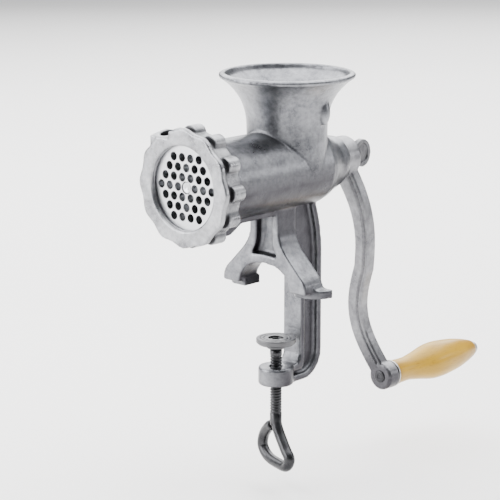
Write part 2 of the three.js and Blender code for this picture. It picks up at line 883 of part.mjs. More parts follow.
addPiece('clamp_pad', clampPad(), metal(0x7c7e81, 0.45));
addPiece('pad_retainer', padRetainer(), metal(0x6c6e70, 0.45));
addPiece('clamp_screw', clampScrew(), metal(0x3f4142, 0.42));

export default group;
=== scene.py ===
"""The looks of a hand-cranked meat grinder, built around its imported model.

Shapes are drawn in millimetres in the model's own frame and brought to metres when they
are fitted: the barrel lies along Y, the outlet faces -Y and the crank hangs at +Y.
"""

import math

import bmesh
import bpy
from mathutils import Matrix, Vector


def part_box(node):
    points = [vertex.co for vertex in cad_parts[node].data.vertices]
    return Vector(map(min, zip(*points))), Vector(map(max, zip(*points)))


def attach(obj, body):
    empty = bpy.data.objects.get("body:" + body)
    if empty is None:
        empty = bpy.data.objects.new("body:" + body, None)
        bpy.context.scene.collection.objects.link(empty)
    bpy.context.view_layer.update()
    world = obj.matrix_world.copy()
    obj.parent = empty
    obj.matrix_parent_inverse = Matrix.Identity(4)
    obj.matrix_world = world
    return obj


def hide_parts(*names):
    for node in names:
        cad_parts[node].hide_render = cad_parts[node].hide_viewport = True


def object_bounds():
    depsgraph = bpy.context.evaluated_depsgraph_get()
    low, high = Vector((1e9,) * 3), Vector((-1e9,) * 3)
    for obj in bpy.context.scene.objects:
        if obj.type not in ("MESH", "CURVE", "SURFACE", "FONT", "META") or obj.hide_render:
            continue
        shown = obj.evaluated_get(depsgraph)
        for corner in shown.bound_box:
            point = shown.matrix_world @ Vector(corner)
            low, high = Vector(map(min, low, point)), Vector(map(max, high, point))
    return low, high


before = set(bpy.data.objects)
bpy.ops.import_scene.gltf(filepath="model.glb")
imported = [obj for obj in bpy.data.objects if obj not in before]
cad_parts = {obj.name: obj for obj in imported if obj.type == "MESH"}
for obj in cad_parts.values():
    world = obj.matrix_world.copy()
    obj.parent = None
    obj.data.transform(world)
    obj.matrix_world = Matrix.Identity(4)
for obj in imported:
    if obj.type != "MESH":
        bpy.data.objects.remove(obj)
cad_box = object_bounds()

# ---------------------------------------------------------------- body casting
# One iron sand casting, dipped in tin: barrel, hopper with a rolled rim, two-footed
# stand, rib under the barrel, and the clamp bow with the boss for the clamp screw.
# Everything else is screwed into it, pressed into it or hangs on it.

MM = 0.001
axis_height = 85
barrel_radius = 27.8
bore_radius = 25
barrel_front = -86
barrel_rear = 60
collar_radius = 34.5
collar_end = -77
seat_radius = 31.3
seat_depth = -80.1
hopper_y = 10.7
hopper_top = 151.4
neck_radius = 28
rim_radius = 46.5
stand_front = -13
stand_rear = 6
arch_height = 21


def lofted(rings, looped=False):
    """A closed shell through rings of points. A ring of one point is a pole."""
    mesh = bmesh.new()
    made = [[mesh.verts.new(point) for point in ring] for ring in rings]
    pairs = list(zip(made, made[1:]))
    if looped:
        pairs.append((made[-1], made[0]))
    else:
        for end in (made[0], made[-1]):
            if len(end) > 2:
                mesh.faces.new(end)
    for low, high in pairs:
        count = max(len(low), len(high))
        for i in range(count):
            j = (i + 1) % count
            corners = [
                low[i % len(low)],
                low[j % len(low)],
                high[j % len(high)],
                high[i % len(high)],
            ]
            corners = list(dict.fromkeys(corners))
            if len(corners) > 2:
                mesh.faces.new(corners)
    bmesh.ops.recalc_face_normals(mesh, faces=mesh.faces)
    return mesh


def turned(profile, centre=(0, 0, 0), upright=False, segments=96):
    """A turned shell from (radius, along) pairs, around Y, or around Z if upright."""
    rings = []
    for radius, along in profile:
        count = segments if radius > 0 else 1
        ring = []
        for i in range(count):
            angle = 2 * math.pi * i / count
            u, v = radius * math.cos(angle), radius * math.sin(angle)
            point = (u, v, along) if upright else (u, along, v)
            ring.append(Vector(centre) + Vector(point))
        rings.append(ring)
    return lofted(rings, looped=profile[0][0] > 0)


def slab(outline, low, high, across):
    """A flat piece with this outline, from low to high along the axis named by across."""
    place = {
        "X": lambda a, b, t: (t, a, b),
        "Y": lambda a, b, t: (a, t, b),
        "Z": lambda a, b, t: (a, b, t),
    }[across]
    return lofted([[place(a, b, t) for a, b in outline] for t in (low, high)])


def eased(points, steps=6):
    """A smooth line through the points."""
    line = [Vector(point) for point in points]
    line = [line[0] * 2 - line[1], *line, line[-1] * 2 - line[-2]]
    smooth = []
    for a, b, c, d in zip(line, line[1:], line[2:], line[3:]):
        for i in range(steps):
            t = i / steps
            bend = (c - a) * t + (a * 2 - b * 5 + c * 4 - d) * t**2
            bend += (b * 3 - a - c * 3 + d) * t**3
            smooth.append(tuple(b + bend / 2))
    return [*smooth, tuple(line[-2])]


def pebble(centre, radii, turn=0):
    """A rounded lump, turned about Z."""
    mesh = bmesh.new()
    place = Matrix.Translation(centre) @ Matrix.Rotation(turn, 4, "Z")
    place = place @ Matrix.Diagonal((*radii, 1))
    bmesh.ops.create_uvsphere(mesh, u_segments=32, v_segments=20, radius=1, matrix=place)
    return mesh


def as_object(name, mesh):
    data = bpy.data.meshes.new(name)
    mesh.to_mesh(data)
    mesh.free()
    piece = bpy.data.objects.new(name, data)
    bpy.context.scene.collection.objects.link(piece)
    return piece


def worked(piece, kind, **settings):
    """Apply one modifier to the piece at once."""
    modifier = piece.modifiers.new(kind, kind)
    for setting, value in settings.items():
        setattr(modifier, setting, value)
    graph = bpy.context.evaluated_depsgraph_get()
    rough = piece.data
    piece.data = bpy.data.meshes.new_from_object(piece.evaluated_get(graph))
    piece.modifiers.clear()
    bpy.data.meshes.remove(rough)


def carve(piece, meshes, operation):
    for mesh in meshes:
        tool = as_object("tool", mesh)
        worked(piece, "BOOLEAN", object=tool, operation=operation, solver="MANIFOLD")
        spent = tool.data
        bpy.data.objects.remove(tool)
        bpy.data.meshes.remove(spent)


def shaped(name, adds, cuts=()):
    """One solid from several that overlap, less the cuts."""
    piece = as_object(name, adds[0])
    carve(piece, adds[1:], "UNION")
    carve(piece, cuts, "DIFFERENCE")
    return piece


def softened(piece, grain, strokes):
    """Round every edge and fill every inner corner, as a sand mould does."""
    worked(piece, "REMESH", mode="VOXEL", voxel_size=grain)
    worked(piece, "SMOOTH", factor=0.5, iterations=strokes)


class Value:
    """A socket that can stand in sums."""

    def __init__(self, sheet, socket):
        self.sheet = sheet
        self.socket = socket

    def math(self, operation, *others):
        values = dict(enumerate([self, *others]))
        return self.sheet.node("ShaderNodeMath", {"operation": operation}, values)

    def __add__(self, other):
        return self.math("ADD", other)

    def __mul__(self, other):
        return self.math("MULTIPLY", other)

    def __sub__(self, other):
        return self.math("SUBTRACT", other)

    def __rsub__(self, other):
        return (self * -1) + other

    def __truediv__(self, other):
        return self.math("DIVIDE", other)

    def __pow__(self, other):
        return self.math("POWER", other)

    def clamped(self):
        return self.math("MAXIMUM", 0).math("MINIMUM", 1)

    __radd__ = __add__
    __rmul__ = __mul__


class Sheet:
    """A node tree, drawn from code."""

    def __init__(self, tree):
        self.tree = tree

    def node(self, kind, settings=None, sockets=None, output=0):
        made = self.tree.nodes.new(kind)
        for setting, value in (settings or {}).items():
            if setting == "stops":
                ramp = made.color_ramp.elements
                while len(ramp) < len(value):
                    ramp.new(1)
                for element, (place, colour) in zip(ramp, value):
                    element.position = place
                    element.color = (*colour, 1)
            else:
                setattr(made, setting, value)
        for socket, value in (sockets or {}).items():
            self.feed(made.inputs[socket], value)
        return Value(self, made.outputs[output])

    def feed(self, socket, value):
        if isinstance(value, Value):
            self.tree.links.new(value.socket, socket)
        else:
            socket.default_value = value

    def split(self, vector):
        """The three parts of a vector."""
        sockets = {"Vector": vector}
        return [self.node("ShaderNodeSeparateXYZ", None, sockets, i) for i in range(3)]


class Finish(Sheet):
    """A material on the Principled shader, on the piece's own coordinates."""

    def __init__(self, name):
        self.material = bpy.data.materials.new(name)
        self.material.use_nodes = True
        super().__init__(self.material.node_tree)
        self.place = self.node("ShaderNodeTexCoord", output="Object")

    def spots(self, scale, detail=2, stretch=None, contrast=None):
        """Soft noise, with about `scale` spots in a metre, as a value near 0.5."""
        place = self.place
        if stretch:
            sockets = {"Vector": place, "Scale": stretch}
            place = self.node("ShaderNodeMapping", None, sockets)
        sockets = {"Vector": place, "Scale": scale, "Detail": detail}
        noise = self.node("ShaderNodeTexNoise", None, sockets)
        if not contrast:
            return noise
        low, high = contrast
        sockets = {"Value": noise, "From Min": low, "From Max": high}
        return self.node("ShaderNodeMapRange", None, sockets)

    def blend(self, share, first, second):
        """A colour between two others."""
        mix = self.tree.nodes.new("ShaderNodeMix")
        mix.data_type = "RGBA"
        self.feed(mix.inputs["Factor"], share)
        for name, value in (("A", first), ("B", second)):
            socket = [s for s in mix.inputs if s.name == name and s.type == "RGBA"][0]
            self.feed(socket, value if isinstance(value, Value) else (*value, 1))
        return Value(self, [s for s in mix.outputs if s.type == "RGBA"][0])

    def bumped(self, height, distance, strength=1.0):
        sockets = {"Height": height, "Distance": distance, "Strength": strength}
        return self.node("ShaderNodeBump", None, sockets)

    def coat(self, **sockets):
        """Set the shader's sockets, with underscores for spaces, and give the material."""
        shader = self.tree.nodes["Principled BSDF"]
        for name, value in sockets.items():
            self.feed(shader.inputs[name.replace("_", " ")], value)
        return self.material


def tinned_iron(
    name, tin, shadow, dullness, grain=0.00006, shaded=None, front=0.85, crevice=1.6
):
    """Hot-dipped tin over cast iron: mottled and satin, with painted shade in the hollows.

    `shaded` gives two heights in metres: below the first one the sides and undersides are
    painted dark as shade, and those above the second one keep their own colour. `front` is
    how much of that painted shade the outlet's side is spared, and `crevice` how strongly
    painted shade darkens the hollows.
    """
    finish = Finish(name)
    clouds = finish.spots(70, 4, contrast=(0.32, 0.68))
    sand = finish.spots(900, 3)
    settings = {"samples": 8, "only_local": True}
    reach = {"Distance": 0.012}
    open_air = finish.node("ShaderNodeAmbientOcclusion", settings, reach, "AO") ** crevice
    flecks = finish.spots(320, 3, contrast=(0.36, 0.62))
    mottled = finish.blend(clouds * 0.45 + flecks * 0.2 + sand * 0.35, shadow, tin)
    # Painted shade: ambient occlusion darkens the hollows towards a deeper tone.
    colour = finish.blend(open_air, tuple(0.45 * c for c in shadow), mottled)
    # Painted shade: sides and undersides below the given heights are darkened towards near
    # black.
    if shaded:
        level = finish.split(finish.place)[2]
        facing = finish.node("ShaderNodeTexCoord", output="Normal")
        _, along, upward = finish.split(facing)
        sockets = {"Value": level, "From Min": shaded[1], "From Max": shaded[0]}
        low = finish.node("ShaderNodeMapRange", None, sockets)
        turned_down = (0.95 - upward * 1.3).clamped()
        painted_underside_shade = low * turned_down * (1 - along * along * front) * (clouds * 0.2 + 0.8)
        colour = finish.blend(painted_underside_shade, colour, (0.024, 0.022, 0.027))
    rough = clouds * 0.10 + sand * 0.10 + (1 - open_air) * 0.2 + dullness
    height = sand + finish.spots(160, 2) * 1.6
    return finish.coat(
        Base_Color=colour,
        Metallic=0.9,
        Roughness=rough,
        Normal=finish.bumped(height, grain * 2.4),
    )


def fitted(piece, body, slot, material, *nodes):
    """Bring a finished piece to metres, coat it, and fix it to its body of the model."""
    piece.data.transform(Matrix.Scale(MM, 4))
    piece.data.materials.clear()
    piece.data.materials.append(material)
    piece.data.polygons.foreach_set("use_smooth", [True] * len(piece.data.polygons))
    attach(piece, body)
    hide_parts(*nodes)


def grown(name, sizes, draw, material):
    """A mesh from a Geometry Nodes tree with these named sizes."""
    tree = bpy.data.node_groups.new(name, "GeometryNodeTree")
    sheet = Sheet(tree)
    for label, size in sizes.items():
        kind = "NodeSocketInt" if isinstance(size, int) else "NodeSocketFloat"
        tree.interface.new_socket(label, in_out="INPUT", socket_type=kind)
    tree.interface.new_socket("Mesh", in_out="OUTPUT", socket_type="NodeSocketGeometry")
    entry = tree.nodes.new("NodeGroupInput")
    given = {label: Value(sheet, entry.outputs[label]) for label in sizes}
    drawn = draw(sheet, given)
    real = sheet.node("GeometryNodeRealizeInstances", None, {"Geometry": drawn})
    coated = {"Geometry": real, "Material": material}
    coated = sheet.node("GeometryNodeSetMaterial", None, coated)
    leave = tree.nodes.new("NodeGroupOutput")
    sheet.feed(leave.inputs["Mesh"], coated)
    holder = as_object(name, bmesh.new())
    modifier = holder.modifiers.new(name, "NODES")
    modifier.node_group = tree
    for item in tree.interface.items_tree:
        if item.in_out == "INPUT":
            modifier[item.identifier] = sizes[item.name]
    graph = bpy.context.evaluated_depsgraph_get()
    result = bpy.data.meshes.new_from_object(holder.evaluated_get(graph))
    holder.modifiers.clear()
    mesh = bmesh.new()
    mesh.from_mesh(result)
    bpy.data.meshes.remove(result)
    bpy.data.objects.remove(holder)
    return mesh


def screw_thread(sheet, given):
    """A closed rod along Z whose radius dips along a helix, for the named sizes."""
    rod = {
        "Vertices": given["Around"],
        "Side Segments": given["Along"],
        "Radius": given["Radius"],
        "Depth": given["Length"],
    }
    rod = sheet.node("GeometryNodeMeshCylinder", None, rod)
    spot = sheet.node("GeometryNodeInputPosition")
    x, y, z = (
        sheet.node("ShaderNodeSeparateXYZ", None, {0: spot}, output=axis) for axis in "XYZ"
    )
    angle = y.math("ARCTAN2", x)
    turn = z / given["Pitch"] * (2 * math.pi) - angle
    groove = (turn.math("COSINE") * 0.5 + 0.5) ** 1.4
    shrink = 1 - groove * given["Depth"] / given["Radius"]
    out = sheet.node("ShaderNodeCombineXYZ", None, {0: x * shrink, 1: y * shrink, 2: z})
    moved = {"Geometry": rod, "Position": out}
    return sheet.node("GeometryNodeSetPosition", None, moved)


def laid(mesh, shift=(0, 0, 0), turn=0, about="X"):
    """Turn a mesh about an axis in degrees, then shift it."""
    turned_round = Matrix.Rotation(math.radians(turn), 4, about)
    mesh.transform(Matrix.Translation(shift) @ turned_round)
    return mesh


def tail():
    """The barrel's rear end: it drops sharply on top and bulges below."""
    line = eased(
        [(28, 27.7, 0), (35, 26, 0.4), (42, 22.3, 1.6), (48, 20, 2), (54, 18.7, 1.6),
         (58.6, 17, 0.6), (60, 15.9, 0.3)],
        4,
    )
    rings = [[(0, 24, axis_height)]]
    for y, radius, drop in [(24, 27.7, 0), *line]:
        angles = [2 * math.pi * i / 128 for i in range(128)]
        centre = axis_height - drop
        rings.append(
            [(radius * math.cos(a), y, centre + radius * math.sin(a)) for a in angles]
        )
    return lofted([*rings, [(0, 60, axis_height)]])


def barrel():
    return turned(
        [
            (0, barrel_front),
            (collar_radius - 1, barrel_front),
            (collar_radius - 1, collar_end),
            *eased([(33, -75.6), (29.6, -73.4), (barrel_radius, -71)], 3),
            (barrel_radius, 30),
            (0, 30),
        ],
        centre=(0, 0, axis_height),
        segments=160,
    )


def bell(share):
    """The hopper's outer radius between the neck and the rim."""
    return neck_radius + (rim_radius - 1.1 - neck_radius) * share**3.1


def hopper(inside):
    """The hopper's outer form, or the hollow in it."""
    neck_top = 107.2
    wall = 3.3 if inside else 0
    rim = hopper_top - 3.4
    steps = [i / 28 for i in range(29)]
    line = [(0, axis_height), (neck_radius - wall, axis_height)]
    line += [(bell(share) - wall, neck_top + (rim - neck_top) * share) for share in steps]
    if inside:
        line += [(43.2, hopper_top + 1), (0, hopper_top + 1)]
    else:
        line += [
            (rim_radius - 0.4, rim + 0.1),
            (rim_radius + 0.5, rim + 0.7),
            (rim_radius + 0.8, rim + 2.3),
            (rim_radius + 0.1, hopper_top),
            (rim_radius - 1.4, hopper_top + 0.4),
            (0, hopper_top + 0.4),
        ]
    return turned(line, centre=(0, hopper_y, 0), upright=True, segments=144)


def both_sides(right):
    """An outline drawn for +X from the top down to the middle, and its mirror."""
    return right + [(-x, z) for x, z in reversed(right) if x > 0]


stand_outline = both_sides(
    eased([(13, 64), (13.3, 46), (15, 37.5), (20.5, 29.5), (30, 19.5), (37, 12), (39, 3.5)])
    + eased([(24, 3.5), (22.6, 9), (18.5, 15), (11, 19.4), (0, arch_height)])
)
stand_hollow = both_sides(
    eased([(7, 66), (7, 44), (7.8, 35), (12, 26.2)]) + [(9.5, 26.4), (0, 27)]
)


def stand():
    middle = (stand_front + stand_rear) / 2
    return (
        [slab(stand_outline, stand_front, stand_rear, "Y")],
        [
            slab(stand_hollow, stand_front - 1, middle - 3.5, "Y"),
            slab(stand_hollow, middle + 3.5, stand_rear + 1, "Y"),
        ],
    )


def foot(side):
    """A tongue that points outward, with a low rim around a shallow hollow."""
    outer = [(23, 8.5), (23, -8), *eased([(35.5, -7), (40.5, -3), (44.3, 3), (45, 8.5)], 4)]
    inner = [(26, 5.6), (26, -5), *eased([(34.5, -4), (38, -0.5), (41.2, 5.6)], 4)]
    outer = [(side * x, y) for x, y in outer]
    inner = [(side * x, y) for x, y in inner]
    return slab(outer, 0, 6.1, "Z"), slab(inner, 4.3, 8, "Z")


def bow_outline(inset):
    """The clamp bow from the side, down behind the table edge and forward to the boss."""
    bottom = -68 + inset
    bend = [
        (19 + (20 - inset) * math.cos(angle), -48 + (20 - inset) * math.sin(angle))
        for angle in (math.radians(degrees) for degrees in range(-80, 1, 16))
    ]
    back = eased([(39 - inset, 25), (36.6 - inset, 43), (31 - inset, 63)])
    return [
        (2 + inset, 63),
        (4 + inset, 35),
        *eased([(14 + inset, 25), (17 + inset, 19), (17 + inset, 10)]),
        (17 + inset, -49 - inset),
        (14 + inset, -55 - inset),
        (inset, -55 - inset),
        (inset, bottom),
        *bend,
        *back,
    ]


def rib_under_barrel():
    under = axis_height - barrel_radius
    line = [(-11, under - 1), (-47, under - 1), (-58.5, under - 7.7), (-73.7, under - 7.7)]
    return slab([(-73.7, axis_height), (-11, axis_height), *line], -12, 12, "X")


def bore():
    """The hollow of the barrel: plate seat, bore, taper, and the hole for the bush."""
    return turned(
        [
            (0, barrel_front - 1),
            (seat_radius, barrel_front - 1),
            (seat_radius, seat_depth),
            (bore_radius, seat_depth),
            (bore_radius, 26),
            (21, 36),
            (11.6, 36),
            (11.6, barrel_rear + 1),
            (0, barrel_rear + 1),
        ],
        centre=(0, 0, axis_height),
        segments=128,
    )


tin_grey = (0.30, 0.305, 0.323)
tin_shadow = (0.05, 0.052, 0.06)
# Painted shade: below the barrel's middle the sides and undersides are darkened, and the
# stand's pockets and bow hollows are darkened too.
cast_tin = tinned_iron(
    "tinned_casting", tin_grey, tin_shadow, 0.22, shaded=(0.078, 0.098)
)

stand_body, stand_pockets = stand()
feet = [foot(side) for side in (1, -1)]
screw_boss = turned(
    [(0, -68), (11.7, -68), (12.5, -67.2), (12.5, -55.8), (11.7, -55), (0, -55)],
    upright=True,
)
adds = [
    barrel(),
    tail(),
    hopper(inside=False),
    *stand_body,
    *[sole for sole, _ in feet],
    slab(bow_outline(0), -8.5, 8.5, "X"),
    screw_boss,
    rib_under_barrel(),
    pebble((0, 40.3, 112.8), (3.4, 3.4, 3.4)),
    pebble((30.4, 14.9, 126.4), (3.8, 4.8, 8.8), math.radians(8)),
]
cuts = [
    *stand_pockets,
    *[hollow for _, hollow in feet],
    slab(bow_outline(4.8), 4.5, 9.5, "X"),
    slab(bow_outline(4.8), -9.5, -4.5, "X"),
    bore(),
    hopper(inside=True),
    turned([(0, -69), (4.55, -69), (4.55, -54), (0, -54)], upright=True, segments=48),
    laid(
        turned([(0, -87), (2.3, -87), (2.3, -78.7), (0, -78.7)], segments=24),
        (0, 0, 116.3),
    ),
]
casting = shaped("body_casting_cast", adds, cuts)
softened(casting, 1.15, 3)
collar_thread = {
    "Radius": collar_radius,
    "Depth": 1.3,
    "Pitch": 2.5,
    "Length": 8.8,
    "Around": 96,
    "Along": 48,
}
collar_band = grown("collar_thread", collar_thread, screw_thread, cast_tin)
collar_band = shaped(
    "collar_band",
    [laid(collar_band, (0, barrel_front + 4.6, axis_height), 90)],
    [turned([(0, -90), (32, -90), (32, -70), (0, -70)], (0, 0, axis_height))],
)
band = bmesh.new()
band.from_mesh(collar_band.data)
bpy.data.objects.remove(collar_band)
carve(casting, [band], "UNION")
fitted(casting, "casting", "cast_body", cast_tin, "body_casting")

# ---------------------------------------------------------------- bush, washer and key
# What is fitted into the casting before the feed screw: a bronze bush pressed into the
# tail, a fibre washer for the screw's thrust, and a steel key that holds the plate.


def span(node):
    """Lowest and highest corner of a piece of the model, in millimetres."""
    low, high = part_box(node)
    return low / MM, high / MM


def on_barrel(profile, segments=96):
    return turned(profile, (0, 0, axis_height), segments=segments)


def tube(inner, outer, front, rear):
    return [(inner, front), (outer, front), (outer, rear), (inner, rear)]


def machined(piece, edge):
    """Break the sharp edges, and let the flat faces stay flat in the light."""
    angle = math.radians(35)
    piece.data.polygons.foreach_set("use_smooth", [True] * len(piece.data.polygons))
    settings = {"limit_method": "ANGLE", "angle_limit": angle, "harden_normals": True}
    worked(piece, "BEVEL", width=edge, segments=2, **settings)


def turned_metal(name, light, dark, dullness, centre, across, marks=2600):
    """Metal from a lathe: fine rings around the centre, across the plane that is given."""
    finish = Finish(name)
    flat = {"Vector": finish.place, "Location": [-c * a for c, a in zip(centre, across)]}
    flat = finish.node("ShaderNodeMapping", None, {**flat, "Scale": across})
    reach = finish.node("ShaderNodeVectorMath", {"operation": "LENGTH"}, {0: flat}, "Value")
    rings = {"W": reach, "Scale": marks, "Detail": 1}
    rings = finish.node("ShaderNodeTexNoise", {"noise_dimensions": "1D"}, rings)
    clouds = finish.spots(120, 3)
    return finish.coat(
        Base_Color=finish.blend(rings * 0.6 + clouds * 0.4, dark, light),
        Metallic=1.0,
        Roughness=clouds * 0.14 + rings * 0.1 + dullness,
        Normal=finish.bumped(rings, 0.00004, 0.5),
    )


barrel_centre = (0, 0, axis_height * MM)
around_y = (1, 0, 1)
around_z = (1, 1, 0)
bronze = turned_metal(
    "bush_bronze", (0.72, 0.52, 0.26), (0.45, 0.29, 0.12), 0.22, barrel_centre, around_y
)
key_steel = turned_metal(
    "key_steel", (0.5, 0.5, 0.52), (0.33, 0.33, 0.35), 0.24, barrel_centre, around_y
)

low, high = span("rear_bush")
bush = shaped("rear_bush_pressed", [on_barrel(tube(8.72, high.x, low.y, high.y))])
machined(bush, 0.4)
fitted(bush, "casting", "bush_brass", bronze, "rear_bush")

fibre = Finish("vulcanised_fibre")
flecks = fibre.spots(1400, 4)
fibre_coat = fibre.coat(
    Base_Color=fibre.blend(flecks, (0.16, 0.035, 0.018), (0.36, 0.10, 0.05)),
    Roughness=flecks * 0.2 + 0.5,
    Normal=fibre.bumped(flecks, 0.00008, 0.6),
)
low, high = span("thrust_washer")
washer = shaped("thrust_washer_fibre", [on_barrel(tube(8.7, high.x, low.y, high.y))])
machined(washer, 0.25)
fitted(washer, "casting", "fibre", fibre_coat, "thrust_washer")

low, high = span("plate_key")
key_line = [(0, low.y), (1.6, low.y), (2, low.y + 0.4), (2, high.y), (0, high.y)]
key = shaped("plate_key_pin", [turned(key_line, (0, 0, (low.z + high.z) / 2), segments=32)])
machined(key, 0.15)
fitted(key, "casting", "tool_steel", key_steel, "plate_key")

# ---------------------------------------------------------------- feed screw
# A tinned casting that turns in the barrel: one flight winds round a core that thickens
# towards the back. Behind it are the shoulder, the journal and the square for the crank.

flight_front = -72.1
flight_rear = 26
core_front = 9
core_rear = 15
journal = 8.4
shank_half = 6
shank_end = 74.5


def flight(sheet, given):
    """A rod along Z from which one flight rises, winding tighter towards the outlet."""
    rod = {
        "Vertices": given["Around"],
        "Side Segments": given["Along"],
        "Radius": given["Radius"],
        "Depth": given["Length"],
    }
    rod = sheet.node("GeometryNodeMeshCylinder", None, rod)
    spot = sheet.node("GeometryNodeInputPosition")
    x, y, z = (
        sheet.node("ShaderNodeSeparateXYZ", None, {0: spot}, output=axis) for axis in "XYZ"
    )
    share = z / given["Length"] + 0.5
    turn = (share * 0.75 + share * share * 0.25) * given["Turns"] * (2 * math.pi)
    facing = (y.math("ARCTAN2", x) - turn).math("COSINE")
    rise = {"Value": facing, "From Min": 0.74, "From Max": 0.93}
    rise = sheet.node("ShaderNodeMapRange", {"interpolation_type": "SMOOTHSTEP"}, rise)
    core = (1 - share) * (given["Core rear"] - given["Core front"]) + given["Core front"]
    shrink = (core + (given["Radius"] - core) * rise) / given["Radius"]
    out = sheet.node("ShaderNodeCombineXYZ", None, {0: x * shrink, 1: y * shrink, 2: z})
    return sheet.node("GeometryNodeSetPosition", None, {"Geometry": rod, "Position": out})


feed_tin = tinned_iron("tinned_feed_screw", (0.45, 0.455, 0.47), (0.2, 0.2, 0.21), 0.22)
flight_sizes = {
    "Radius": 24.4,
    "Length": float(flight_rear - flight_front),
    "Turns": 2.5,
    "Core front": float(core_front),
    "Core rear": float(core_rear),
    "Around": 96,
    "Along": 160,
}
wound = grown("feed_flight", flight_sizes, flight, feed_tin)
square = [(-1, -1), (1, -1), (1, 1), (-1, 1)]
shank = slab(
    [(shank_half * x, axis_height + shank_half * z) for x, z in square], 58, shank_end, "Y"
)
rear_line = [(0, 20), (14.6, 20), (15, 28.4), (15, 33.4), (journal, 33.4), (journal, 60)]
feed_screw = shaped(
    "feed_screw_cast",
    [
        laid(wound, (0, (flight_front + flight_rear) / 2, axis_height), 90),
        on_barrel([*rear_line, (0, 60)]),
        shank,
    ],
    [
        on_barrel([(0, -74), (4.3, -74), (4.3, -58.1), (0, -58.1)], 48),
        on_barrel([(0, 54.5), (3.3, 54.5), (3.3, 76), (0, 76)], 48),
    ],
)
softened(feed_screw, 0.85, 2)
fitted(feed_screw, "rotor", "cast_body", feed_tin, "feed_screw")

# ---------------------------------------------------------------- knife and its stud
# Four forged blades on a hub with a square hole, ground flat against the plate. The stud
# is screwed into the feed screw; its square drives the knife and its tip runs in the plate.

tool_steel = turned_metal(
    "ground_steel", (0.6, 0.605, 0.62), (0.4, 0.405, 0.42), 0.2, barrel_centre, around_y
)
knife_low, knife_high = span("knife")
blade_reach = knife_high.x - 0.1
blade = [(0, -4), (blade_reach, -5), (blade_reach, 1), (17, 2.2), (9, 4), (0, 4)]
hub_disc = tube(0, 9, knife_low.y, knife_high.y)
blades = [
    laid(slab(blade, knife_low.y, knife_high.y, "Y"), (0, 0, axis_height), 90 * i, "Y")
    for i in range(4)
]
knife_hole = [(5 * x, axis_height + 5 * z) for x, z in square]
knife = shaped(
    "knife_forged",
    [on_barrel(hub_disc), *blades],
    [slab(knife_hole, knife_low.y - 1, knife_high.y + 1, "Y")],
)
machined(knife, 0.5)
fitted(knife, "rotor", "tool_steel", tool_steel, "knife")

low, high = span("knife_stud")
stud_square = [(4.7 * x, axis_height + 4.7 * z) for x, z in square]
tip = [(0, low.y + 1), (1.3, low.y + 0.2), (3.4, low.y), (4, low.y + 0.6), (4, high.y)]
stud = shaped(
    "knife_stud_turned",
    [
        on_barrel([*tip, (0, high.y)], 64),
        slab(stud_square, knife_low.y + 0.1, knife_high.y + 0.6, "Y"),
    ],
)
machined(stud, 0.25)
fitted(stud, "rotor", "tool_steel", tool_steel, "knife_stud")

# ---------------------------------------------------------------- perforated plate
# A hardened steel disc, drilled on a pattern of triangles and ground on both faces. A
# notch in its edge sits on the key, and the feed screw's stud turns in its middle hole.

plate_low, plate_high = span("perforated_plate")
plate_radius = plate_high.x


def drills(sheet, given):
    """Rods on a pattern of triangles, in a ring between the middle and the rim."""
    rows = given["Rows"]
    grid = {"Vertices X": rows, "Vertices Y": rows}
    grid = sheet.node("GeometryNodeMeshGrid", None, grid)
    index = sheet.node("GeometryNodeInputIndex")
    row = (index / rows + 0.0001).math("FLOOR")
    column = index - row * rows
    middle = (rows - 1) * 0.5
    row, column = row - middle, column - middle
    x = (column + row.math("FLOORED_MODULO", 2.0) * 0.5) * given["Pitch"]
    y = row * given["Pitch"] * math.sin(math.pi / 3)
    out = sheet.node("ShaderNodeCombineXYZ", None, {0: x, 1: y})
    spots = {"Geometry": grid, "Position": out}
    spots = sheet.node("GeometryNodeSetPosition", None, spots)
    far = (x * x + y * y) ** 0.5
    too_far = far.math("GREATER_THAN", given["Reach"])
    astray = too_far + far.math("LESS_THAN", given["Middle"])
    spots = {"Geometry": spots, "Selection": astray}
    spots = sheet.node("GeometryNodeDeleteGeometry", None, spots)
    rod = {"Vertices": given["Around"], "Radius": given["Radius"], "Depth": given["Length"]}
    rod = sheet.node("GeometryNodeMeshCylinder", None, rod)
    placed = {"Points": spots, "Instance": rod}
    return sheet.node("GeometryNodeInstanceOnPoints", None, placed)


hole_radius = 3
drill_sizes = {
    "Pitch": 7.7,
    "Radius": float(hole_radius),
    "Reach": plate_radius - 3.2 - hole_radius,
    "Middle": 4.3 + hole_radius,
    "Length": 20.0,
    "Rows": 11,
    "Around": 40,
}
drill_rods = grown("plate_drills", drill_sizes, drills, tool_steel)
plate = shaped(
    "perforated_plate_ground",
    [on_barrel([(0, plate_low.y), (plate_radius, plate_low.y), (plate_radius, plate_high.y),
                (0, plate_high.y)], 128)],
    [
        laid(drill_rods, (0, plate_low.y, axis_height), 90),
        on_barrel([(0, -90), (4.3, -90), (4.3, -79), (0, -79)], 48),
        turned([(0, -90), (2.6, -90), (2.6, -79), (0, -79)], (0, 0, 116.3), segments=32),
    ],
)
machined(plate, 0.35)
fitted(plate, "plate", "tool_steel", tool_steel, "perforated_plate")

# ---------------------------------------------------------------- ring nut
# A tinned ring casting that screws onto the barrel and presses the plate in. It has a
# wavy front flange, twelve rounded lobes behind it for the hand, and one squared ear.

ring_low, ring_high = span("ring_nut")
ring_front = ring_low.y
ring_rear = ring_high.y


def grip_lobes(sheet, given):
    """Round posts on a circle around Z."""
    circle = {"Vertices": given["Count"], "Radius": given["Circle"]}
    circle = sheet.node("GeometryNodeMeshCircle", None, circle)
    post = {"Vertices": given["Around"], "Radius": given["Radius"]}
    post["Depth"] = given["Length"]
    post = sheet.node("GeometryNodeMeshCylinder", None, post)
    posts = {"Points": circle, "Instance": post}
    return sheet.node("GeometryNodeInstanceOnPoints", None, posts)


def wavy_flange():
    count = 288
    outline = []
    for i in range(count):
        angle = 2 * math.pi * i / count
        radius = 39.5 + 0.9 * math.cos(12 * angle)
        outline.append((radius * math.cos(angle), axis_height + radius * math.sin(angle)))
    return slab(outline, ring_front, ring_front + 4, "Y")


